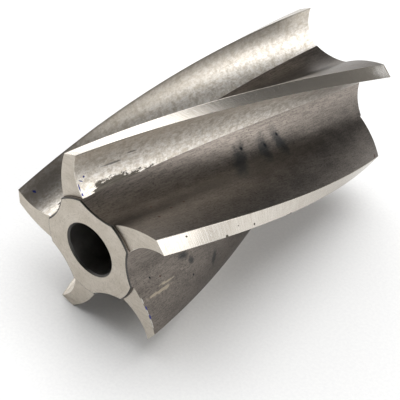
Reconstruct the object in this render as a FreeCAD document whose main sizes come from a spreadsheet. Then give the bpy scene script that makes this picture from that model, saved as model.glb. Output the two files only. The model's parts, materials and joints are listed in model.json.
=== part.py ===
"""Five-tooth helical milling cutter for an arbor: a bored hub with five helical teeth seated on it.

The cutter lies on its side with its axis along row +Y. The origin is the centre of the bore at
mid-length, the front hub face is towards -Y, X is to the right and Z is up. Angles round the axis
are in degrees from the upright, counter-clockwise when looking along +Y, and the four corners of a
tooth's section are counted from the middle of its land.
"""

import FreeCAD, Part
import math
import os

import Sketcher

SHEET = "Dimensions"

DIMENSIONS = {
    # Teeth
    "tooth_count": 5,
    "outer_diameter": 69.85,
    "tooth_length": 128.0,
    "helix_lead": 704.0,
    "land_relief": 0.56,
    "rake_radius": 16.0,
    "back_radius": 34.0,
    "cutting_edge_angle": -4.5,
    "heel_angle": 4.6,
    "back_root_angle": 25.5,
    "rake_root_angle": -4.2,
    "top_tooth_angle": 14.3,
    # Hub
    "hub_diameter": 38.2,
    "boss_height": 1.1,
    "hub_edge_round": 0.45,
    "bore_diameter": 19.05,
    "bore_chamfer": 0.6,
    "gullet_radius": 21.8,
    # Seat between a tooth and the hub, and how far the gullet cutter runs past the hub's ends
    "seat_gap": 0.02,
    "cutter_overrun": 3.0,
}

# Sizes worked out from the ones above, in the sheet's own formulas.
DERIVED = {
    "edge_radius": "outer_diameter / 2",
    "heel_radius": "edge_radius - land_relief",
    "hub_radius": "hub_diameter / 2",
    "seat_radius": "hub_radius + seat_gap",
    "bore_radius": "bore_diameter / 2",
    "hub_length": "tooth_length + 2 * boss_height",
    "tooth_pitch_angle": "360 / tooth_count",
    "tooth_front": "-tooth_length / 2",
    "hub_front": "-hub_length / 2",
    "cut_front": "hub_front - cutter_overrun",
    "cut_length": "hub_length + 2 * cutter_overrun",
    "gullet_half_angle": "(tooth_pitch_angle - back_root_angle + rake_root_angle) / 2",
    "gullet_half_width": "hub_radius * sin(gullet_half_angle)",
    "gullet_reach": "hub_radius * cos(gullet_half_angle) + sqrt(gullet_radius^2 - gullet_half_width^2)",
    "overrun_turn": "360 * (tooth_front - cut_front) / helix_lead",
    "gullet_angle": "top_tooth_angle + rake_root_angle - gullet_half_angle + overrun_turn",
}

# Each corner of the sketches lies at this radius, and at the angle that has the corner's name.
CORNER_RADII = {
    "cutting_edge": "edge_radius",
    "heel": "heel_radius",
    "back_root": "seat_radius",
    "rake_root": "seat_radius",
    "gullet": "gullet_reach",
}

ORIGIN = -1
START, END, CENTRE = 1, 2, 3
FORWARD = FreeCAD.Vector(0, -1, 0)
UPRIGHT = FreeCAD.Vector(0, 0, 1)
TOLERANCE = 1e-4


def make_sheet(doc):
    """The spreadsheet that drives every sketch, feature and placement."""
    corners = {}
    for name, radius in CORNER_RADII.items():
        corners[f"{name}_x"] = f"-{radius} * sin({name}_angle)"
        corners[f"{name}_z"] = f"{radius} * cos({name}_angle)"
    formulas = {**DERIVED, **corners}
    sheet = doc.addObject("Spreadsheet::Sheet", SHEET)
    for row, name in enumerate([*DIMENSIONS, *formulas], start=1):
        sheet.set(f"A{row}", name)
        sheet.set(f"B{row}", f"={formulas[name]}" if name in formulas else str(DIMENSIONS[name]))
        sheet.setAlias(f"B{row}", name)
    doc.recompute()
    return sheet


def bind(thing, property_name, alias):
    """Drives one of an object's properties from the cell with that alias."""
    thing.setExpression(property_name, f"{SHEET}.{alias}")


def origin_feature(body, role):
    return next(feature for feature in body.Origin.OriginFeatures if feature.Role == role)


def make_body(doc, name, front, angle="0"):
    """A body whose own plane Y = 0 stands at the alias front, turned by an angle round the axis."""
    body = doc.addObject("PartDesign::Body", name)
    body.Placement = FreeCAD.Placement(FreeCAD.Vector(), FreeCAD.Rotation(FORWARD, 1))
    body.setExpression(".Placement.Rotation.Angle", angle)
    bind(body, ".Placement.Base.y", front)
    doc.recompute()
    return body


def make_sketch(body, name):
    """A sketch across the axis: its x is row X and its y is row Z."""
    sketch = body.newObject("Sketcher::SketchObject", name)
    sketch.AttachmentSupport = [(origin_feature(body, "XZ_Plane"), "")]
    sketch.MapMode = "FlatFace"
    return sketch


def corner_point(sheet, corner):
    return FreeCAD.Vector(sheet.get(f"{corner}_x"), sheet.get(f"{corner}_z"), 0)


def hold_at(sheet, sketch, edge, position, corner):
    """Holds an edge's start, end or centre at a named corner."""
    for kind, axis in (("DistanceX", "x"), ("DistanceY", "z")):
        alias = f"{corner}_{axis}"
        held = Sketcher.Constraint(kind, ORIGIN, START, edge, position, sheet.get(alias))
        bind(sketch, f"Constraints[{sketch.addConstraint(held)}]", alias)


def set_radius(sheet, sketch, edge, alias):
    held = Sketcher.Constraint("Radius", edge, sheet.get(alias))
    bind(sketch, f"Constraints[{sketch.addConstraint(held)}]", alias)


def add_arc(sheet, sketch, first, last, radius, clockwise):
    """Adds an arc between two corners, and returns it with the positions of its first and last ends.

    A sketch counts every arc counter-clockwise, so the ends of a clockwise one change places.
    """
    start, end = (last, first) if clockwise else (first, last)
    chord = end - start
    outward = FreeCAD.Vector(chord.y, -chord.x, 0).normalize()
    size = sheet.get(radius)
    bow = size - math.sqrt(size**2 - chord.Length**2 / 4)
    arc = sketch.addGeometry(Part.Arc(start, (start + end) / 2 + outward * bow, end), False)
    set_radius(sheet, sketch, arc, radius)
    return (arc, END, START) if clockwise else (arc, START, END)


def draw_tooth(sheet, body):
    """A tooth's section: land, convex back, seat on the hub, and concave rake face."""
    corners = ["cutting_edge", "heel", "back_root", "rake_root"]
    edge, heel, back_root, rake_root = [corner_point(sheet, corner) for corner in corners]
    sketch = make_sketch(body, f"{body.Label}_section")
    land = sketch.addGeometry(Part.LineSegment(edge, heel), False)
    outline = [
        (land, START, END),
        add_arc(sheet, sketch, heel, back_root, "back_radius", clockwise=False),
        add_arc(sheet, sketch, back_root, rake_root, "seat_radius", clockwise=True),
        add_arc(sheet, sketch, rake_root, edge, "rake_radius", clockwise=True),
    ]
    following = outline[1:] + outline[:1]
    for corner, (this, first, last), (other, joined, _) in zip(corners, outline, following):
        hold_at(sheet, sketch, this, first, corner)
        sketch.addConstraint(Sketcher.Constraint("Coincident", this, last, other, joined))
    return sketch


def draw_circle(sheet, body, name, radius):
    """A sketch of one circle round the axis."""
    sketch = make_sketch(body, name)
    circle = sketch.addGeometry(Part.Circle(FreeCAD.Vector(), UPRIGHT, sheet.get(radius)), False)
    set_radius(sheet, sketch, circle, radius)
    sketch.addConstraint(Sketcher.Constraint("Coincident", circle, CENTRE, ORIGIN, START))
    return sketch


def draw_gullet(sheet, body):
    """The round section of the gullet cutter, drawn where it starts, clear of the hub's front face."""
    sketch = make_sketch(body, "gullet_section")
    bind(sketch, ".AttachmentOffset.Base.z", "cutter_overrun")
    start = corner_point(sheet, "gullet")
    circle = sketch.addGeometry(Part.Circle(start, UPRIGHT, sheet.get("gullet_radius")), False)
    set_radius(sheet, sketch, circle, "gullet_radius")
    hold_at(sheet, sketch, circle, CENTRE, "gullet")
    return sketch


def twist(body, kind, sketch, length):
    """Sweeps a section along the axis on the right-hand helix, to add it or to subtract it."""
    sweep = body.newObject(f"PartDesign::{kind}Helix", f"{sketch.Label}_twist")
    sweep.Profile = sketch
    sweep.ReferenceAxis = (origin_feature(body, "Y_Axis"), [""])
    sweep.Mode = "pitch-height-angle"
    sweep.Refine = False
    bind(sweep, "Pitch", "helix_lead")
    bind(sweep, "Height", length)
    body.Document.recompute()
    return sweep


def make_tooth(doc, sheet, index):
    """One helical tooth. Tooth 1 is uppermost at the front, and the rest follow clockwise."""
    angle = f"{SHEET}.top_tooth_angle - {index} * {SHEET}.tooth_pitch_angle"
    body = make_body(doc, f"tooth_{index + 1}", "tooth_front", angle)
    twist(body, "Additive", draw_tooth(sheet, body), "tooth_length")
    return body


def end_face_edges(shape, nearest, furthest):
    """The names of the edges across the axis whose distance from it lies in that range."""
    names = []
    for number, edge in enumerate(shape.Edges, start=1):
        across = edge.BoundBox.YLength < TOLERANCE
        corner = edge.Vertexes[0]
        if across and nearest < math.hypot(corner.X, corner.Z) < furthest:
            names.append(f"Edge{number}")
    return names


def make_hub(doc, sheet):
    """The hub: a turned blank, five milled gullets and a through bore, with its edges broken."""
    body = make_body(doc, "cutter_hub", "hub_front")
    blank = body.newObject("PartDesign::Pad", "blank")
    blank.Profile = draw_circle(sheet, body, "blank_section", "hub_radius")
    blank.Reversed = True
    bind(blank, "Length", "hub_length")
    doc.recompute()

    gullet = twist(body, "Subtractive", draw_gullet(sheet, body), "cut_length")
    gullets = body.newObject("PartDesign::PolarPattern", "gullets")
    gullets.Originals = [gullet]
    gullets.Axis = (origin_feature(body, "Y_Axis"), [""])
    gullets.Refine = False
    bind(gullets, "Occurrences", "tooth_count")
    body.Tip = gullets
    doc.recompute()

    bore = body.newObject("PartDesign::Pocket", "bore")
    bore.Profile = draw_circle(sheet, body, "bore_section", "bore_radius")
    bore.Refine = False
    bind(bore, "Length", "hub_length")
    doc.recompute()

    bore_wall = (sheet.get("bore_radius") - TOLERANCE, sheet.get("bore_radius") + TOLERANCE)
    mouths = body.newObject("PartDesign::Chamfer", "bore_mouths")
    mouths.Base = (bore, end_face_edges(bore.Shape, *bore_wall))
    bind(mouths, "Size", "bore_chamfer")
    doc.recompute()

    outline = (sheet.get("hub_radius") - TOLERANCE, sheet.get("hub_radius") + TOLERANCE)
    rounds = body.newObject("PartDesign::Fillet", "edge_rounds")
    rounds.Base = (mouths, end_face_edges(mouths.Shape, *outline))
    bind(rounds, "Radius", "hub_edge_round")
    doc.recompute()
    return body


def check_model(doc, sheet, hub, teeth):
    """Stops the script if a feature failed, a piece isn't one sound solid, or a cut took nothing."""
    for thing in doc.Objects:
        if {"Invalid", "Error"} & set(thing.State):
            raise RuntimeError(f"{thing.Label} failed")
    for piece in [hub, *teeth]:
        shape = piece.Shape
        if shape.isNull() or not shape.isValid() or len(shape.Solids) != 1:
            raise RuntimeError(f"{piece.Label} is not one valid solid")
    steps = [feature for feature in hub.Group if feature.isDerivedFrom("PartDesign::Feature")]
    for before, after in zip(steps, steps[1:]):
        if after.Shape.Volume >= before.Shape.Volume:
            raise RuntimeError(f"{after.Label} takes nothing off the hub")
    for tooth in teeth:
        section = Part.Face(tooth.Tip.Profile[0].Shape.Wires[0])
        swept = section.Area * sheet.get("tooth_length")
        if abs(tooth.Shape.Volume / swept - 1) > TOLERANCE:
            raise RuntimeError(f"{tooth.Label} has the wrong volume")


def main():
    doc = FreeCAD.newDocument("milling_cutter")
    sheet = make_sheet(doc)
    hub = make_hub(doc, sheet)
    teeth = [make_tooth(doc, sheet, index) for index in range(DIMENSIONS["tooth_count"])]
    doc.recompute()
    check_model(doc, sheet, hub, teeth)
    os.makedirs("parts", exist_ok=True)
    for piece in [hub, *teeth]:
        piece.Shape.exportStep(f"parts/{piece.Label}.step")
        print(f"{piece.Label}: {piece.Shape.Volume:.1f} mm3")


main()
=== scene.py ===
"""Looks for the helical milling cutter: dense meshes of the hub and the five teeth, steels and studio."""

import json
import math
from collections import namedtuple

import bpy
import numpy as np
from mathutils import Matrix, Vector


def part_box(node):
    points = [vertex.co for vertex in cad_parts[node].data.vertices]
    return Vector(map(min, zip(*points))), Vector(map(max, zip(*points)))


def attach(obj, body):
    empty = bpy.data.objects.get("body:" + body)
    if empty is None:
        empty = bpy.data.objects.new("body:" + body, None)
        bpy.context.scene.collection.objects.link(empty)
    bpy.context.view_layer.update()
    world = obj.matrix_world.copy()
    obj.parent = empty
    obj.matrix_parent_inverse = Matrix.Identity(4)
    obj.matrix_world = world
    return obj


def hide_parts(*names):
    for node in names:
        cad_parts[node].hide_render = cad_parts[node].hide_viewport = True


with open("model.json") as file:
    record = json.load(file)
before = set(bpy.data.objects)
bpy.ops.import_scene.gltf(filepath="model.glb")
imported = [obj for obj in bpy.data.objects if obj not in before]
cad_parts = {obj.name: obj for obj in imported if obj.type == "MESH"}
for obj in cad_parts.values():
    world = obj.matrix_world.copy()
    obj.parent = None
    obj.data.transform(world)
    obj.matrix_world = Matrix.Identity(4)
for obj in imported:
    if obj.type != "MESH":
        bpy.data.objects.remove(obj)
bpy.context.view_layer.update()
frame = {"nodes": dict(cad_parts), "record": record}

MM = 0.001
BODY = "root"

# Sizes that the frame holds, in metres.
TEETH = sorted(name for name in frame["nodes"] if name.startswith("tooth_"))
HUB = "cutter_hub"
(_, HUB_FRONT, _), (_, HUB_BACK, _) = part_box(HUB)
(_, TOOTH_FRONT, _), (_, TOOTH_BACK, _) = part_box(TEETH[0])
BORE_RADIUS = frame["record"]["mounts"][0]["dims"]["r_mm"] * MM

# The cutter's section: radii in metres, angles in degrees counter-clockwise from the upright, seen
# from the front, and each tooth's own angles counted from the middle of its land.
HELIX_LEAD = 704 * MM
TOOTH_STEP = 360 / len(TEETH)
TOP_TOOTH_ANGLE = 14.3
EDGE_RADIUS = 34.925 * MM
HEEL_RADIUS = EDGE_RADIUS - 0.56 * MM
HUB_RADIUS = 19.1 * MM
SEAT_RADIUS = HUB_RADIUS + 0.02 * MM
CUTTING_EDGE_ANGLE = -4.5
HEEL_ANGLE = 4.6
BACK_ROOT_ANGLE = 25.5
RAKE_ROOT_ANGLE = -4.2
RAKE_RADIUS = 16 * MM
BACK_RADIUS = 34 * MM
GULLET_RADIUS = 21.8 * MM
HUB_EDGE_ROUND = 0.45 * MM
BORE_CHAMFER = 0.6 * MM
TOOTH_END_BREAK = 0.12 * MM
EDGE_BREAK = 0.05 * MM
HEEL_BREAK = 0.16 * MM

# Detail of the meshes. Edges above CREASE_ANGLE are shaded sharp, save the one between a gullet and
# the next tooth's back, which is shaded soft over CREASE_BLEND on each side.
POINT_STEP = 0.55 * MM
SLICE_STEP = 0.8 * MM
END_ROUND_STEPS = 3
BORE_SLICES = 48
CREASE_ANGLE = math.radians(12)
CREASE_BLEND = 3.2 * MM

# Material numbers: a tooth's, then the hub's.
END_FACE, LAND, RAKE, SCALE = 0, 1, 2, 3
HUB_FACE, GULLET, BORE, CHAMFER = 0, 1, 2, 3

# Widths across a flute, from the crease at the foot of the rake face: to the far side of the gullet,
# and on up the next tooth's back to its heel. FLUTE_SPACING keeps the flutes' surface coordinates
# apart, so it is more than a flute's length.
GULLET_HALF_ANGLE = (TOOTH_STEP - BACK_ROOT_ANGLE + RAKE_ROOT_ANGLE) / 2
GULLET_HALF_WIDTH = HUB_RADIUS * math.sin(math.radians(GULLET_HALF_ANGLE))
GULLET_WIDTH = 2 * GULLET_RADIUS * math.asin(GULLET_HALF_WIDTH / GULLET_RADIUS)
BACK_WIDTH = 18.1 * MM
FLUTE_WIDTH = GULLET_WIDTH + BACK_WIDTH
FLUTE_SPACING = 200 * MM

# Marks of use, and patches of painted light and shade, in millimetres. Each mark is its flute,
# its place across the flute from the crease and along it from the front, half its size across and
# along, and its lean in degrees. A place below 0 is on the rake face. LAND marks are on the land of
# the tooth with the flute's number, and their place across is counted from the cutting edge.
OIL_SMEARS = (
    (0, 10.7, 58.2, 11.6, 4.2, -37), (0, 10.0, 71.0, 8.0, 3.7, -16), (0, 9.7, 79.4, 9.2, 3.4, 4),
    (1, 14.6, 25.6, 2.4, 3.2, 0), (1, 17.8, 28.4, 2.0, 2.0, 0), (1, 23.2, 41.2, 4.8, 1.8, -26),
)
OIL_DROPS = (
    (0, 6.6, 62.0, 0.9, 0.9, 0), (0, 8.6, 72.4, 1.3, 1.1, 0), (0, 6.6, 79.8, 1.1, 0.9, 0),
    (1, 14.5, 7.7, 0.8, 0.6, 0), (1, 23.1, 27.4, 0.7, 0.7, 0),
)
# Painted shade: dark bands down the bottom of two flutes, where the gullet meets the next tooth's back.
PAINTED_SHADE_BANDS = ((0, 15.0, 64.0, 9.0, 120.0, -2), (4, 9.0, 110.0, 9.0, 44.0, 0))
RUST_SPOTS = (
    (0, 18.3, 19.0, 0.55, 0.5, 0), (0, 21.0, 11.6, 0.6, 0.45, 0), (0, 17.6, 25.0, 0.4, 0.4, 0),
    (0, 13.0, 15.5, 0.35, 0.5, 0), (1, 16.0, 12.0, 0.4, 0.4, 0), (0, 31.0, 124.6, 0.8, 0.8, 0),
)
PALE_SCRATCHES = ((1, 20.2, 8.5, 0.6, 7.5, -2), (1, 18.8, 13.5, 0.4, 3.5, -2))
EDGE_CHIPS = ((1, 20.0, 0.2, 1.6, 0.35, 0), (1, 24.0, 0.2, 1.8, 0.3, 0), (1, 28.0, 0.2, 2.2, 0.4, 0))
EDGE_INK = ((1, 22.4, 0.4, 0.9, 0.3, 0), (1, 25.6, 0.4, 1.1, 0.35, 0))
RAKE_SCRATCHES = ((0, -7.0, 13.4, 0.42, 4.2, -4), (0, -8.3, 20.5, 0.25, 2.0, -4))
INK_MARKS = (
    (0, -6.6, 2.8, 0.5, 0.45, 30), (0, -5.5, 1.6, 0.9, 0.22, 50), (0, -3.6, 0.4, 1.8, 0.26, 0),
    (0, -1.2, 0.5, 0.7, 0.4, 0), (4, -12.4, 3.8, 0.9, 0.5, 20),
)
LAND_NICKS = (
    (1, 0.2, 26.9, 0.8, 0.8, 0), (1, 1.3, 40.6, 0.5, 0.45, 0), (1, 4.1, 10.9, 0.4, 0.5, 0),
    (1, 2.6, 33.0, 0.25, 0.3, 0), (1, 0.1, 61.0, 0.4, 0.7, 0), (0, 0.1, 47.0, 0.3, 0.7, 0),
)
LAND_STAINS = ((0, 3.0, 128.0, 3.4, 0.7, 0), (1, 5.0, 122.0, 1.0, 1.2, 0))
# Painted highlight: a bright patch at the back end of the top tooth's land.
LAND_PAINTED_HIGHLIGHTS = ((0, 2.6, 127.0, 5.0, 9.0, 0),)
# Painted shade: darker patches near the back of flute 0's rake face and the front of flute 4's, standing in
# for dimmer reflections.
RAKE_PAINTED_SHADES = ((0, -5.0, 122.0, 18.0, 62.0, 0), (4, -12.0, 8.0, 11.0, 34.0, 0))

# How the cutter lies: the floor's distance below the axis at the origin, and its lean along the axis.
REST_HEIGHT = 34.42 * MM
REST_TILT = math.radians(1.4)

# Scale creeps up over the rake face near the front. Its border is given as (distance from the front,
# place across the flute) at the two ends of its steep start and of its long run back to the crease,
# then by how widely it wanders, and by half the width of its edge.
CREEP_START = ((1 * MM, 2.0 * MM), (7 * MM, -2.7 * MM))
CREEP_RUN = ((8 * MM, -2.9 * MM), (40 * MM, 1.8 * MM))
CREEP_RAGGEDNESS = 12 * MM
CREEP_BORDER = 0.15 * MM

# Where a tone fades in: the place where it is bare, and the place where it is covered. The first two
# go up the rake face. The third goes down the gullet to the crease and paints light there; the last
# goes along the axis and paints shade on the land, darker towards the back.
UPPER_RAKE = (-5 * MM, -14 * MM)
CUTTING_EDGE = (-15.4 * MM, -16.6 * MM)
GULLET_PAINTED_LIGHT = (10 * MM, 2 * MM)
LAND_PAINTED_SHADE = (-35 * MM, 45 * MM)

# Roughness of the rake face, and how much the crept scale adds to it. Noises run from 0 to 1.
RAKE_ROUGHNESS = 0.4
CREPT_ROUGHNESS = 0.1
NOISE_MIDDLE = 0.5

# How far warm greys and scale's browns lean to yellow as they get warmer.
GREY_YELLOWNESS = 1.4
UMBER_YELLOWNESS = 0.85
UMBER_WARMTH = 0.14

# Colours, as linear red, green, blue and opacity.
INK = (0.03, 0.04, 0.2, 1.0)
OIL_FILM = (0.026, 0.030, 0.033, 1.0)
OIL = (0.012, 0.015, 0.018, 1.0)
RUST = (0.06, 0.02, 0.012, 1.0)
BARE_METAL = (0.46, 0.40, 0.30, 1.0)
TARNISH = (0.20, 0.13, 0.04, 1.0)
PAPER_DARK = (0.80, 0.80, 0.80, 1.0)
PAPER_LIGHT = (0.84, 0.84, 0.835, 1.0)
WHITE = (1.0, 1.0, 1.0, 1.0)

# Studio. The tent's parts are stretches of the view direction's x (gap), z (rise and foot) and y
# (front) over which its brightness changes to or from the level named with them.
FLOOR_SIZE = 3.0
TENT_LEVEL = 2.6
TENT_GAP_CENTRE = 0.08
TENT_GAP = (0.36, 0.74)
TENT_GAP_LEVEL = 0.2
TENT_RISE = (0.45, 0.8)
TENT_TOP_LEVEL = 0.1
TENT_FOOT = (0.0, 0.17)
TENT_FOOT_LEVEL = 0.3
TENT_FRONT = (-0.7, 0.0)
TENT_FRONT_LEVEL = 0.3
CEILING_AZIMUTH = 200
CEILING_ELEVATION = 75
CEILING_DISTANCE = 1.2
CEILING_SIZE = 1.5
CEILING_RADIANCE = 2.9
CAMERA_AIM = (12.5 * MM, -25.2 * MM, 4.3 * MM)
CAMERA_DISTANCE = 345 * MM
CAMERA_AZIMUTH = 38.23
CAMERA_ELEVATION = 39.48
CAMERA_ROLL = 3.59
CAMERA_LENS = 92.3
CAMERA_SENSOR = 36


# ---------------------------------------------------------------- Meshes

def polar(radius, angle):
    """The point (x, z) at that radius and angle."""
    return np.array([-radius * math.sin(math.radians(angle)), radius * math.cos(math.radians(angle))])


def straight(start, end):
    """Evenly spaced points from start up to, but not including, end."""
    count = max(1, round(np.linalg.norm(end - start) / POINT_STEP))
    return start + (end - start) * np.arange(count)[:, None] / count


def arc(start, end, radius, bow):
    """Points on an arc from start up to, but not including, end; it bows to the left (1) or right (-1)."""
    chord = end - start
    length = np.linalg.norm(chord)
    left = np.array([-chord[1], chord[0]]) / length
    centre = (start + end) / 2 - left * bow * math.sqrt(radius**2 - length**2 / 4)
    half = math.asin(length / 2 / radius)
    count = max(2, round(2 * half * radius / POINT_STEP))
    first = math.atan2(*(start - centre)[::-1])
    angles = first - bow * 2 * half * np.arange(count) / count
    return centre + radius * np.stack([np.cos(angles), np.sin(angles)], axis=1)


# One side of a section. Its surface coordinate starts at across, in metres, and grows (sense 1) or
# falls (-1) along it. Each flute, numbered as the tooth whose rake face is in it, has its own
# stretch of the other coordinate.
Side = namedtuple("Side", "points material across sense flute")


def join_sides(sides):
    """The closed loop of the sides' points, and the side that each stretch between points is on."""
    loop = np.vstack([side.points for side in sides])
    owners = [side for side in sides for _ in side.points]
    return loop, owners


def break_corner(loop, owners, index, size, owner):
    """Replaces one corner of a closed loop by three points that break it by that size."""
    before, corner, after = loop[index - 1], loop[index], loop[(index + 1) % len(loop)]
    first = corner + (before - corner) / np.linalg.norm(before - corner) * size
    last = corner + (after - corner) / np.linalg.norm(after - corner) * size
    middle = (first + 2 * corner + last) / 4
    loop = np.vstack([loop[:index], [first, middle, last], loop[index + 1:]])
    return loop, owners[:index] + [owner, owner] + owners[index:]


def surface_spans(loop, owners):
    """The surface coordinate at the two ends of each stretch of the loop."""
    lengths = np.linalg.norm(np.roll(loop, -1, axis=0) - loop, axis=1)
    travelled = {}
    spans = []
    for length, owner in zip(lengths, owners):
        start = travelled.get(id(owner), 0.0)
        travelled[id(owner)] = start + length
        spans.append([owner.across + owner.sense * way for way in (start, start + length)])
    return spans


def inset(loop, depth):
    """The loop with every side moved in by that depth. The loop runs counter-clockwise."""
    sides = np.roll(loop, -1, axis=0) - loop
    sides /= np.linalg.norm(sides, axis=1)[:, None]
    inward = np.stack([-sides[:, 1], sides[:, 0]], axis=1)
    joined = inward + np.roll(inward, 1, axis=0)
    return loop + joined * depth * 2 / np.sum(joined**2, axis=1)[:, None]


def turned(points, degrees):
    """Points turned counter-clockwise, seen from the front."""
    cos, sin = math.cos(math.radians(degrees)), math.sin(math.radians(degrees))
    return points @ np.array([[cos, sin], [-sin, cos]])


def helix_turn(y):
    """How far the right-hand helix has turned at that place along the axis, in degrees."""
    return -360 * (y - TOOTH_FRONT) / HELIX_LEAD


def outward(start, end):
    """The unit normal that points out of the steel, for one stretch of a counter-clockwise loop."""
    along = end - start
    return np.array([along[1], -along[0]]) / np.linalg.norm(along)


def crease_normal():
    """The way midway between the two sides' normals, where a gullet meets the next tooth's back."""
    heel = polar(HEEL_RADIUS, HEEL_ANGLE)
    root = polar(HUB_RADIUS, BACK_ROOT_ANGLE)
    gullet = arc(root, polar(HUB_RADIUS, TOOTH_STEP + RAKE_ROOT_ANGLE), GULLET_RADIUS, bow=1)
    back = arc(heel, root, BACK_RADIUS, bow=-1)
    return outward(gullet[0], gullet[1]) + outward(back[-1], root)


def soften_creases(mesh, material):
    """Shades the crease between a gullet and the next tooth's back as if it were a soft valley."""
    valley = crease_normal()
    normals = np.array([corner.vector for corner in mesh.corner_normals])
    radians_per_metre = 2 * math.pi / HELIX_LEAD
    for polygon in mesh.polygons:
        if polygon.material_index != material:
            continue
        for corner in polygon.loop_indices:
            u, v = mesh.uv_layers[0].data[corner].uv
            amount = 1 - abs(u - GULLET_WIDTH) / CREASE_BLEND
            if amount <= 0:
                continue
            x, y, z = mesh.vertices[mesh.loops[corner].vertex_index].co
            flute = round((v - (y - TOOTH_FRONT)) / FLUTE_SPACING)
            tooth_turn = TOP_TOOTH_ANGLE - (flute + 1) * TOOTH_STEP
            side, rise = turned(valley, tooth_turn + helix_turn(y))
            # The middle figure keeps the normal square to the helix.
            target = np.array([side, radians_per_metre * (x * rise - z * side), rise])
            mixed = normals[corner] + (target / np.linalg.norm(target) - normals[corner]) * amount
            normals[corner] = mixed / np.linalg.norm(mixed)
    mesh.normals_split_custom_set(normals.tolist())


class Skin:
    """Collects rings of points, the faces between them, their material numbers and their UVs."""

    def __init__(self):
        self.points = []
        self.faces = []
        self.uvs = []
        self.materials = []

    def ring(self, loop, y):
        """Adds a ring of (x, z) points at a place along the axis, and returns its point numbers."""
        first = len(self.points)
        self.points += [(x, y, z) for x, z in loop]
        return list(range(first, len(self.points)))

    def face(self, corners, uvs, material):
        """Adds a face from its point numbers and their surface coordinates."""
        self.faces.append(corners)
        self.uvs += uvs
        self.materials.append(material)

    def join(self, this, following, places, spans, owners):
        """Quads between two rings at two places along the axis."""
        for i, (owner, (start, end)) in enumerate(zip(owners, spans)):
            k = (i + 1) % len(this)
            corners = [this[i], following[i], following[k], this[k]]
            v0, v1 = [place - TOOTH_FRONT + owner.flute * FLUTE_SPACING for place in places]
            uvs = [(start, v0), (start, v1), (end, v1), (end, v0)]
            self.face(corners, uvs, owner.material)

    def flat_uvs(self, corners):
        """An end face's surface coordinates are its x and z."""
        return [(self.points[c][0], self.points[c][2]) for c in corners]

    def piece(self, name, materials, node, scale_number):
        """Makes the object that stands for a CAD node. scale_number is its scale material's number."""
        mesh = bpy.data.meshes.new(name)
        mesh.from_pydata(self.points, [], self.faces)
        layer = mesh.uv_layers.new(name="surface")
        layer.data.foreach_set("uv", np.array(self.uvs, np.float32).ravel())
        mesh.polygons.foreach_set("material_index", self.materials)
        mesh.polygons.foreach_set("use_smooth", [True] * len(self.faces))
        for material in materials:
            mesh.materials.append(material)
        mesh.set_sharp_from_angle(angle=CREASE_ANGLE)
        mesh.validate()
        soften_creases(mesh, scale_number)
        piece = bpy.data.objects.new(name, mesh)
        bpy.context.scene.collection.objects.link(piece)
        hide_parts(node)
        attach(piece, BODY)
        return piece


def slices(front, back, size):
    """(place along the axis, inset) of each ring, from the front face to the back, with rounded ends."""
    turns = np.radians(np.linspace(0, 90, END_ROUND_STEPS + 1))
    ends = [(size * (1 - math.cos(t)), size * (1 - math.sin(t))) for t in turns]
    count = round((back - front) / SLICE_STEP)
    wall = np.linspace(front + size, back - size, count + 1)[1:-1]
    rings = [(front + deep, depth) for deep, depth in ends]
    rings += [(y, 0.0) for y in wall]
    rings += [(back - deep, depth) for deep, depth in reversed(ends)]
    return rings


def sweep(skin, loop, owners, rings, turn, end_material=None):
    """Sweeps a closed loop along the helix through the rings, and returns the first and last ring.

    end_material is for the rounded ends, where it differs from the sides' own.
    """
    spans = surface_spans(loop, owners)
    rounded = owners
    if end_material is not None:
        rounded = [side._replace(material=end_material) for side in owners]
    made = [skin.ring(turned(inset(loop, depth), turn + helix_turn(y)), y) for y, depth in rings]
    for i in range(len(rings) - 1):
        in_end = i < END_ROUND_STEPS or i >= len(rings) - 1 - END_ROUND_STEPS
        sides = rounded if in_end else owners
        skin.join(made[i], made[i + 1], (rings[i][0], rings[i + 1][0]), spans, sides)
    return made[0], made[-1]


def tooth_loop(index):
    """A tooth's section, counter-clockwise from the cutting edge."""
    edge = polar(EDGE_RADIUS, CUTTING_EDGE_ANGLE)
    heel = polar(HEEL_RADIUS, HEEL_ANGLE)
    back_root = polar(SEAT_RADIUS, BACK_ROOT_ANGLE)
    rake_root = polar(SEAT_RADIUS, RAKE_ROOT_ANGLE)
    flute_behind = (index - 1) % len(TEETH)
    land = Side(straight(edge, heel), LAND, 0.0, 1, index)
    back = Side(arc(heel, back_root, BACK_RADIUS, bow=-1), SCALE, FLUTE_WIDTH, -1, flute_behind)
    seat = Side(arc(back_root, rake_root, SEAT_RADIUS, bow=1), SCALE, GULLET_WIDTH, -1, index)
    rake = Side(arc(rake_root, edge, RAKE_RADIUS, bow=1), RAKE, 0.0, -1, index)
    loop, owners = join_sides([land, back, seat, rake])
    loop, owners = break_corner(loop, owners, len(land.points), HEEL_BREAK, land)
    return break_corner(loop, owners, 0, EDGE_BREAK, land)


def make_tooth(index, materials):
    """One tooth. Teeth are counted from 0 here, clockwise from the top one at the front."""
    loop, owners = tooth_loop(index)
    skin = Skin()
    turn = TOP_TOOTH_ANGLE - index * TOOTH_STEP
    rings = slices(TOOTH_FRONT, TOOTH_BACK, TOOTH_END_BREAK)
    first, last = sweep(skin, loop, owners, rings, turn)
    for outline in (first, last[::-1]):
        skin.face(outline, skin.flat_uvs(outline), END_FACE)
    piece = skin.piece(f"cutter_tooth_{index + 1}", materials, TEETH[index], SCALE)


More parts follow.
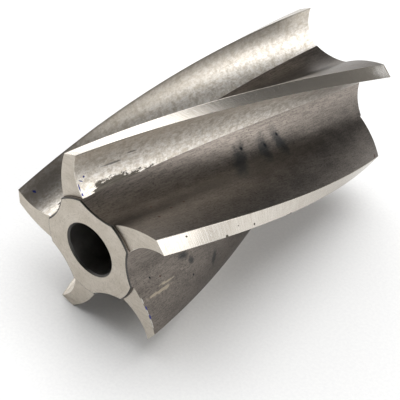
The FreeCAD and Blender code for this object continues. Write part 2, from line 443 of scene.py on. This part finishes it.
def hub_loop():
    """The hub's section: five lobes that carry the teeth, and five gullets between them."""
    sides = []
    for index in range(len(TEETH)):
        lobe_start = polar(HUB_RADIUS, index * TOOTH_STEP + RAKE_ROOT_ANGLE)
        gullet_start = polar(HUB_RADIUS, index * TOOTH_STEP + BACK_ROOT_ANGLE)
        gullet_end = polar(HUB_RADIUS, (index + 1) * TOOTH_STEP + RAKE_ROOT_ANGLE)
        # Teeth are numbered clockwise, and this gullet's rake face is on the next lobe's tooth.
        flute = -(index + 1) % len(TEETH)
        lobe = arc(lobe_start, gullet_start, HUB_RADIUS, bow=-1)
        gullet = arc(gullet_start, gullet_end, GULLET_RADIUS, bow=1)
        sides.append(Side(lobe, GULLET, 0.0, 1, flute))
        sides.append(Side(gullet, GULLET, GULLET_WIDTH, -1, flute))
    return join_sides(sides)


def make_bore(skin, loop, turn, first, last):
    """The bore with its chamfers, and the two end faces that join it to the hub's outline."""
    wide = BORE_RADIUS + BORE_CHAMFER
    wall = np.linspace(HUB_FRONT + BORE_CHAMFER, HUB_BACK - BORE_CHAMFER, BORE_SLICES)
    places = [(HUB_FRONT, wide), *[(y, BORE_RADIUS) for y in wall], (HUB_BACK, wide)]
    directions = loop / np.linalg.norm(loop, axis=1)[:, None]
    rings = [skin.ring(turned(directions * radius, turn + helix_turn(y)), y) for y, radius in places]
    for i in range(len(rings) - 1):
        material = CHAMFER if i in (0, len(rings) - 2) else BORE
        owners = [Side(points=None, material=material, across=0.0, sense=1, flute=0)] * len(loop)
        spans = surface_spans(directions * BORE_RADIUS, owners)
        skin.join(rings[i + 1], rings[i], (places[i + 1][0], places[i][0]), spans, owners)
    # At the back the two rings trade places, which turns the faces over.
    for outline, bore in ((first, rings[0]), (rings[-1], last)):
        for i in range(len(loop)):
            k = (i + 1) % len(loop)
            corners = [outline[i], outline[k], bore[k], bore[i]]
            skin.face(corners, skin.flat_uvs(corners), HUB_FACE)


def make_hub(materials):
    """The hub, with its gullets, lobes and bore."""
    loop, owners = hub_loop()
    skin = Skin()
    rings = slices(HUB_FRONT, HUB_BACK, HUB_EDGE_ROUND)
    # The rounded end edges take the chamfer steel, whose dark colour is painted shade.
    first, last = sweep(skin, loop, owners, rings, TOP_TOOTH_ANGLE, end_material=CHAMFER)
    make_bore(skin, loop, TOP_TOOTH_ANGLE, first, last)
    piece = skin.piece("cutter_hub_body", materials, HUB, GULLET)


# ---------------------------------------------------------------- Materials

# A mix node has several sockets of one name, so those for colours go by number.
MIX_FIRST, MIX_SECOND, MIX_RESULT = 6, 7, 2


def tinted(level, warmth, yellowness):
    """A steel colour. Warmth leans it to red, and yellowness is how much of that is taken from blue."""
    return (level * (1 + warmth), level, level * (1 - yellowness * warmth), 1.0)


def grey(level, warmth):
    """A ground steel's warm grey."""
    return tinted(level, warmth, GREY_YELLOWNESS)


def umber(level):
    """The brown-grey of scale."""
    return tinted(level, UMBER_WARMTH, UMBER_YELLOWNESS)


class Graph:
    """Short calls that add nodes to one node tree."""

    def __init__(self, tree):
        self.tree = tree

    def node(self, kind, inputs=None, **settings):
        """Adds a node; each input is a value or another node's output."""
        made = self.tree.nodes.new(kind)
        for name, value in settings.items():
            setattr(made, name, value)
        for name, value in (inputs or {}).items():
            self.feed(made.inputs[name], value)
        return made

    def feed(self, socket, value):
        """Links the socket to an output, or sets it to a value."""
        if isinstance(value, bpy.types.NodeSocket):
            self.tree.links.new(value, socket)
        else:
            socket.default_value = value

    def maths(self, operation, first, second=0.0):
        """A math node's result."""
        return self.node("ShaderNodeMath", {0: first, 1: second}, operation=operation).outputs[0]

    def split(self, vector):
        """The outputs X, Y and Z of a vector."""
        return self.node("ShaderNodeSeparateXYZ", {"Vector": vector}).outputs

    def between(self, value, low, high, start=0.0, end=1.0):
        """The value brought from low..high to start..end, smoothly and with its ends held."""
        values = {"Value": value, "From Min": low, "From Max": high, "To Min": start, "To Max": end}
        made = self.node("ShaderNodeMapRange", values, interpolation_type="SMOOTHSTEP")
        return made.outputs["Result"]


class Shader(Graph):
    """One material: a colour laid on in coats, and bumps one on top of the other."""

    def __init__(self, name):
        self.material = bpy.data.materials.new(name)
        self.material.use_nodes = True
        super().__init__(self.material.node_tree)
        self.here = self.node("ShaderNodeTexCoord").outputs["Object"]
        self.surface = self.node("ShaderNodeUVMap", uv_map="surface").outputs["UV"]
        self.colour = None
        self.normal = None

    def noise(self, coordinates, cells, detail, roughness=0.6):
        """Noise with that many cells to a metre: one number, or one for each axis."""
        if isinstance(cells, tuple):
            stretched = self.node("ShaderNodeMapping", {"Vector": coordinates, "Scale": cells})
            return self.noise(stretched.outputs["Vector"], 1.0, detail, roughness)
        values = {"Vector": coordinates, "Scale": cells, "Detail": detail, "Roughness": roughness}
        return self.node("ShaderNodeTexNoise", values).outputs["Fac"]

    def grain(self, across, along, detail, roughness=0.6):
        """Noise on the surface, with that many cells to a metre across and along the flute."""
        return self.noise(self.surface, (across, along, 1), detail, roughness)

    def wander(self, ragged, width):
        """A shift of up to half the width either way, taken from a noise."""
        return self.maths("MULTIPLY", self.maths("SUBTRACT", ragged, NOISE_MIDDLE), width)

    def blend(self, amount, first, second):
        """The first colour where amount is 0, and the second where it is 1."""
        values = {"Factor": amount, MIX_FIRST: first, MIX_SECOND: second}
        return self.node("ShaderNodeMix", values, data_type="RGBA").outputs[MIX_RESULT]

    def prime(self, pattern, low, high, dark, light):
        """The first coat, which goes from dark to light as the pattern goes from low to high."""
        self.colour = self.blend(self.between(pattern, low, high), dark, light)

    def coat(self, tone, amount):
        """Lays a tone over the colour so far, where amount is above 0."""
        self.colour = self.blend(amount, self.colour, tone)

    def mottle(self, tone, pattern, bare, covered, strength):
        """Lays a tone over the colour so far, more and more as the pattern goes from bare to covered."""
        self.coat(tone, self.between(pattern, bare, covered, 0.0, strength))

    def distance(self, flute, across, along, half_across, half_along, lean):
        """How far each place is from a mark's middle. 1 is the mark's edge."""
        values = {
            "Vector": self.surface,
            "Location": (across * MM, along * MM + flute * FLUTE_SPACING, 0),
            "Rotation": (0, 0, math.radians(lean)),
            "Scale": (half_across * MM, half_along * MM, 1),
        }
        local = self.node("ShaderNodeMapping", values, vector_type="TEXTURE").outputs["Vector"]
        return self.node("ShaderNodeVectorMath", {0: local}, operation="LENGTH").outputs["Value"]

    def mark(self, tone, places, ragged, softness=0.35, wildness=1.3, strength=1.0):
        """Lays a tone over the colour so far on marks of use.

        The noise called ragged pushes their outline in and out by up to half the wildness. Softness
        is the width of their edge. Both are shares of a mark's half size.
        """
        nearest, *others = [self.distance(*place) for place in places]
        for distance in others:
            nearest = self.maths("MINIMUM", nearest, distance)
        reach = self.maths("ADD", nearest, self.wander(ragged, wildness))
        self.coat(tone, self.between(reach, 1 - softness, 1.0, strength, 0.0))

    def bump(self, height, distance):
        """Raises the surface by that distance where height is 1, on top of the bumps so far."""
        values = {"Height": height, "Distance": distance}
        if self.normal is not None:
            values["Normal"] = self.normal
        self.normal = self.node("ShaderNodeBump", values).outputs["Normal"]

    def finish(self, roughness, metallic=0.0):
        """Puts it all on the surface, and returns the material."""
        inputs = self.tree.nodes["Principled BSDF"].inputs
        self.feed(inputs["Base Color"], self.colour)
        self.feed(inputs["Roughness"], roughness)
        self.feed(inputs["Metallic"], metallic)
        if self.normal is not None:
            self.feed(inputs["Normal"], self.normal)
        return self.material


def crept_scale(shader, over, ragged):
    """1 where scale has crept over the rake face near the front, and 0 on bare steel."""
    along = shader.split(shader.here)["Y"]
    borders = []
    for (first, first_place), (last, last_place) in (CREEP_START, CREEP_RUN):
        start, end = TOOTH_FRONT + first, TOOTH_FRONT + last
        borders.append(shader.between(along, start, end, first_place, last_place))
    place = shader.maths("ADD", over, shader.wander(ragged, CREEP_RAGGEDNESS))
    beyond = shader.maths("SUBTRACT", place, shader.maths("MAXIMUM", *borders))
    return shader.between(beyond, -CREEP_BORDER, CREEP_BORDER)


def make_rake_steel(name):
    """Ground rake face: bright satin steel, mottled, with scale creeping up over it near the front."""
    shader = Shader(name)
    over = shader.split(shader.surface)["X"]
    clouds = shader.grain(across=800, along=480, detail=9, roughness=0.75)
    flecks = shader.grain(across=2200, along=900, detail=5, roughness=0.7)
    drawn = shader.grain(across=1700, along=200, detail=5, roughness=0.7)
    ragged = shader.grain(across=900, along=250, detail=8, roughness=0.8)
    patches = shader.noise(shader.here, cells=330, detail=9, roughness=0.8)
    shader.prime(clouds, low=0.36, high=0.6, dark=grey(0.64, 0.11), light=grey(0.95, 0.04))
    shader.mottle(grey(0.38, 0.17), patches, bare=0.46, covered=0.61, strength=0.55)
    shader.mottle(grey(0.42, 0.13), over, *UPPER_RAKE, strength=0.45)
    shader.mottle(grey(0.40, 0.12), drawn, bare=0.45, covered=0.72, strength=0.35)
    shader.mottle(grey(0.24, 0.14), flecks, bare=0.52, covered=0.72, strength=0.5)
    shader.mottle(grey(0.16, 0.14), over, *CUTTING_EDGE, strength=0.7)
    # Painted shade: darker patches on the rake faces, standing in for dimmer reflections.
    shader.mark(umber(0.14), RAKE_PAINTED_SHADES, clouds, softness=1.0, wildness=0.6, strength=0.85)
    crept = crept_scale(shader, over, ragged)
    dull = shader.blend(shader.between(drawn, 0.35, 0.7), grey(0.11, 0.13), grey(0.05, 0.13))
    shader.coat(dull, crept)
    shader.mark(grey(0.07, 0.1), RAKE_SCRATCHES, ragged, wildness=2.6, strength=0.7)
    shader.mark(INK, INK_MARKS, ragged, wildness=2.6)
    shader.bump(drawn, 0.012 * MM)
    shader.bump(flecks, 0.02 * MM)
    roughness = shader.maths("ADD", shader.maths("MULTIPLY", crept, CREPT_ROUGHNESS), RAKE_ROUGHNESS)
    return shader.finish(roughness, metallic=0.75)


def make_scale_steel(name):
    """Gullet and tooth back as they came from heat treatment: dull, dark, brown-grey scale. Painted light
    lifts the gullet near the rake face's foot, and painted shade darkens bands down two flutes.
    """
    shader = Shader(name)
    over = shader.split(shader.surface)["X"]
    clouds = shader.grain(across=160, along=90, detail=8, roughness=0.7)
    grain = shader.grain(across=2400, along=1000, detail=4, roughness=0.7)
    drawn = shader.grain(across=1500, along=190, detail=6, roughness=0.75)
    wavy = shader.noise(shader.here, cells=500, detail=5, roughness=0.65)
    shader.prime(clouds, low=0.32, high=0.66, dark=umber(0.12), light=umber(0.18))
    # Painted light: the gullet lightens towards the foot of the rake face.
    shader.mottle(umber(0.32), over, *GULLET_PAINTED_LIGHT, strength=0.85)
    shader.mottle(umber(0.065), drawn, bare=0.38, covered=0.68, strength=0.6)
    shader.mottle(umber(0.25), grain, bare=0.53, covered=0.68, strength=0.5)
    shader.mottle(umber(0.04), grain, bare=0.47, covered=0.32, strength=0.75)
    # Painted shade: dark bands down the bottom of the flutes.
    shader.mark(umber(0.035), PAINTED_SHADE_BANDS, clouds, softness=1.0, wildness=1.0, strength=0.62)
    shader.mark(OIL_FILM, OIL_SMEARS, wavy, softness=0.8, wildness=1.2, strength=0.75)
    shader.mark(OIL, OIL_DROPS, wavy, softness=0.8)
    shader.mark(RUST, RUST_SPOTS, wavy)
    shader.mark(BARE_METAL, PALE_SCRATCHES, drawn, wildness=3.5, strength=0.55)
    shader.mark(grey(0.45, 0.06), EDGE_CHIPS, wavy, wildness=3.0)
    shader.mark(INK, EDGE_INK, wavy, wildness=2.4)
    shader.bump(drawn, 0.02 * MM)
    shader.bump(grain, 0.03 * MM)
    return shader.finish(roughness=shader.between(clouds, 0.3, 0.7, 0.38, 0.48), metallic=0.95)


def make_land_steel(name):
    """Ground land: bright, with fine grinding lines across it, a few dark nicks, painted shade darker
    towards the back, and a painted highlight near one land's back end.
    """
    shader = Shader(name)
    along = shader.split(shader.here)["Y"]
    lines = shader.grain(across=110, along=3200, detail=4, roughness=0.7)
    clouds = shader.noise(shader.here, cells=240, detail=7, roughness=0.7)
    shader.prime(lines, low=0.35, high=0.65, dark=grey(0.50, 0.09), light=grey(0.66, 0.06))
    # Painted shade: the land darkens towards the back.
    shader.mottle(grey(0.32, 0.11), along, *LAND_PAINTED_SHADE, strength=0.65)
    shader.mottle(grey(0.36, 0.12), clouds, bare=0.5, covered=0.75, strength=0.4)
    # Painted highlight: a bright patch near the back end of a land.
    shader.mark(grey(0.95, 0.04), LAND_PAINTED_HIGHLIGHTS, clouds, softness=1.0)
    shader.mark(grey(0.07, 0.16), LAND_NICKS, clouds, wildness=2.0)
    shader.mark(TARNISH, LAND_STAINS, clouds, softness=0.8)
    shader.bump(lines, 0.006 * MM)
    return shader.finish(roughness=shader.between(lines, 0.2, 0.8, 0.2, 0.28), metallic=0.9)


def turning_rings(shader):
    """Noise that varies only with the distance from the axis."""
    apart = shader.split(shader.here)
    squares = [shader.maths("POWER", apart[axis], 2.0) for axis in "XZ"]
    radius = shader.maths("SQRT", shader.maths("ADD", *squares))
    place = shader.node("ShaderNodeCombineXYZ", {"X": radius}).outputs["Vector"]
    return shader.noise(place, cells=(2200, 1, 1), detail=3)


def make_face_steel(name, rings):
    """Ground end face. The hub's carries faint turning rings, a tooth's straight grinding lines."""
    shader = Shader(name)
    if rings:
        lines = turning_rings(shader)
    else:
        lines = shader.noise(shader.here, cells=(160, 1, 2400), detail=4)
    clouds = shader.noise(shader.here, cells=190, detail=8, roughness=0.7)
    grain = shader.noise(shader.here, cells=1500, detail=4, roughness=0.7)
    shader.prime(clouds, low=0.3, high=0.7, dark=grey(0.44, 0.11), light=grey(0.53, 0.09))
    shader.mottle(grey(0.30, 0.12), lines, bare=0.45, covered=0.7, strength=0.3)
    shader.mottle(grey(0.24, 0.14), grain, bare=0.50, covered=0.72, strength=0.55)
    shader.bump(lines, 0.012 * MM)
    return shader.finish(roughness=shader.between(lines, 0.2, 0.8, 0.40, 0.52), metallic=0.95)


def make_bore_steel(name, dark, light):
    """Bored surface, darkened by old oil and oxide; its darker chamfer copy is painted shade."""
    shader = Shader(name)
    lines = shader.grain(across=60, along=1500, detail=4)
    clouds = shader.noise(shader.here, cells=150, detail=5)
    shader.prime(clouds, low=0.3, high=0.7, dark=grey(dark, 0.05), light=grey(light, 0.04))
    shader.bump(lines, 0.01 * MM)
    return shader.finish(roughness=shader.between(lines, 0.2, 0.8, 0.34, 0.5), metallic=1.0)


def make_paper(name):
    """White paper with a faint pattern of fibres."""
    shader = Shader(name)
    fibres = shader.noise(shader.here, cells=900, detail=4)
    shader.prime(fibres, low=0.3, high=0.7, dark=PAPER_DARK, light=PAPER_LIGHT)
    return shader.finish(roughness=0.9)


# ---------------------------------------------------------------- Studio

def make_floor():
    """The cutter rests on a cutting edge and a heel, so the floor leans along its axis."""
    bpy.ops.mesh.primitive_plane_add(size=FLOOR_SIZE, location=(0, 0, -REST_HEIGHT))
    floor = bpy.context.object
    floor.name = "floor"
    floor.rotation_euler = (-REST_TILT, 0, 0)
    floor.data.materials.append(make_paper("paper"))


def make_world():
    """A white tent: bright at the left and the right, dim in between, overhead, low down and in front."""
    world = bpy.data.worlds.new("tent")
    bpy.context.scene.world = world
    world.use_nodes = True
    graph = Graph(world.node_tree)
    towards = graph.split(graph.node("ShaderNodeTexCoord").outputs["Generated"])
    aside = graph.maths("ABSOLUTE", graph.maths("SUBTRACT", towards["X"], TENT_GAP_CENTRE))
    strength = graph.between(aside, *TENT_GAP, TENT_GAP_LEVEL, TENT_LEVEL)
    overhead = graph.between(towards["Z"], *TENT_RISE, 1.0, TENT_TOP_LEVEL)
    low_down = graph.between(towards["Z"], *TENT_FOOT, TENT_FOOT_LEVEL, 1.0)
    in_front = graph.between(towards["Y"], *TENT_FRONT, TENT_FRONT_LEVEL, 1.0)
    for dimming in (overhead, low_down, in_front):
        strength = graph.maths("MULTIPLY", strength, dimming)
    background = world.node_tree.nodes["Background"]
    graph.feed(background.inputs["Strength"], strength)
    graph.feed(background.inputs["Color"], WHITE)


def direction(azimuth, elevation):
    """The way from the cutter to a place around it. Azimuth 0 is in front of it, and 90 to its right."""
    turn, rise = math.radians(azimuth), math.radians(elevation)
    return Vector((math.sin(turn) * math.cos(rise), -math.cos(turn) * math.cos(rise), math.sin(rise)))


def make_ceiling():
    """A soft square lamp overhead, which points at the cutter and does not show in the metal."""
    lamp = bpy.data.lights.new("ceiling", "AREA")
    lamp.size = CEILING_SIZE
    lamp.energy = CEILING_RADIANCE * math.pi * CEILING_SIZE**2
    ceiling = bpy.data.objects.new("ceiling", lamp)
    back = direction(CEILING_AZIMUTH, CEILING_ELEVATION)
    ceiling.location = back * CEILING_DISTANCE
    ceiling.rotation_mode = "QUATERNION"
    ceiling.rotation_quaternion = back.to_track_quat("Z", "Y")
    ceiling.visible_glossy = False
    bpy.context.scene.collection.objects.link(ceiling)


def make_camera():
    lens = bpy.data.cameras.new("camera")
    lens.lens = CAMERA_LENS
    lens.sensor_width = CAMERA_SENSOR
    camera = bpy.data.objects.new("camera", lens)
    back = direction(CAMERA_AZIMUTH, CAMERA_ELEVATION)
    camera.location = Vector(CAMERA_AIM) + back * CAMERA_DISTANCE
    upright = back.to_track_quat("Z", "Y").to_matrix()
    camera.rotation_euler = (upright @ Matrix.Rotation(math.radians(CAMERA_ROLL), 3, "Z")).to_euler()
    bpy.context.scene.collection.objects.link(camera)
    bpy.context.scene.camera = camera


def main():
    bpy.context.scene.view_settings.view_transform = "Standard"
    rake = make_rake_steel("rake_steel")
    scale = make_scale_steel("scale_steel")
    land = make_land_steel("land_steel")
    tooth_face = make_face_steel("tooth_face_steel", rings=False)
    hub_face = make_face_steel("hub_face_steel", rings=True)
    bore = make_bore_steel("bore_steel", dark=0.2, light=0.32)
    # The chamfer steel is a darker copy of the bore's: painted shade on the bore's chamfers and the hub's
    # rounded end edges.
    chamfer = make_bore_steel("chamfer_painted_shade_steel", dark=0.06, light=0.096)
    for index in range(len(TEETH)):
        make_tooth(index, [tooth_face, land, rake, scale])
    make_hub([hub_face, scale, bore, chamfer])
    make_floor()
    make_world()
    make_ceiling()
    make_camera()


main()
